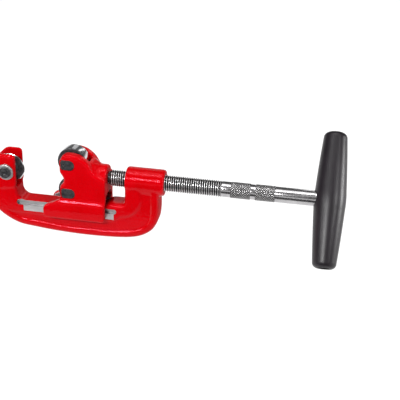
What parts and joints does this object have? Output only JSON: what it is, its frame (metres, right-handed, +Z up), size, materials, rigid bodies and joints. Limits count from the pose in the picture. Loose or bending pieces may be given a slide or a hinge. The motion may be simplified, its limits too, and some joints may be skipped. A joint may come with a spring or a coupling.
{
  "type": "pipe cutter",
  "caption": "Hand-operated steel pipe cutter: cast C-frame with cutting wheel, sliding roller carriage, threaded spindle and T-handle.",
  "frame": {"origin": "on the pipe axis at rest, where the axis of the pipe in the jaw crosses the spindle's axis, halfway through the frame's thickness", "axes": "+X along the spindle from the cutting wheel to the handle, +Y along the pipe away from the side with the pin heads, +Z up from the rail to the open side of the jaw"},
  "size_m": [0.3763, 0.0968, 0.128],
  "materials": {
    "red_paint": "glossy enamel over cast iron, with bare machined rail faces",
    "hardened_steel": "ground and polished",
    "blackened_steel": "blackened, satin",
    "bright_steel": "turned, bright",
    "black_plastic": "fine satin grain"
  },
  "bodies": {
    "frame": {"frame": "red_paint", "wheel_pin": "blackened_steel", "wheel_pin_washer": "bright_steel", "wheel_pin_clip": "blackened_steel"},
    "cutting_wheel": {"cutting_wheel": "hardened_steel"},
    "carriage": {"carriage": "red_paint", "roller_pin_upper": "blackened_steel", "roller_pin_lower": "blackened_steel", "roller_clip_upper": "blackened_steel", "roller_clip_lower": "blackened_steel", "spindle_dowel_front": "blackened_steel", "spindle_dowel_back": "blackened_steel", "thrust_disc": "hardened_steel"},
    "roller_upper": {"roller_upper": "hardened_steel"},
    "roller_lower": {"roller_lower": "hardened_steel"},
    "spindle": {"spindle": "bright_steel", "handle_grip": "black_plastic", "handle_core": "bright_steel", "handle_lock_pin": "blackened_steel", "handle_plug_upper": "black_plastic", "handle_plug_lower": "black_plastic"}
  },
  "joints": [
    {"name": "carriage_slide", "type": "slide", "parent": "frame", "child": "carriage", "axis": [1, 0, 0], "range_m": [-0.038, 0.0188]},
    {"name": "spindle_turn", "type": "hinge", "parent": "carriage", "child": "spindle", "pos_m": [0, 0, 0], "axis": [1, 0, 0], "range_deg": [-5921, 2929]},
    {"name": "wheel_spin", "type": "hinge", "parent": "frame", "child": "cutting_wheel", "pos_m": [-0.037, 0, 0], "axis": [0, 1, 0], "continuous": true},
    {"name": "roller_upper_spin", "type": "hinge", "parent": "carriage", "child": "roller_upper", "pos_m": [0.0328, 0, 0.0158], "axis": [0, 1, 0], "continuous": true},
    {"name": "roller_lower_spin", "type": "hinge", "parent": "carriage", "child": "roller_lower", "pos_m": [0.0328, 0, -0.0158], "axis": [0, 1, 0], "continuous": true}
  ],
  "couplings": [
    {"joint": "carriage_slide", "follows": "spindle_turn", "m_per_rad": 0.00036765}
  ]
}
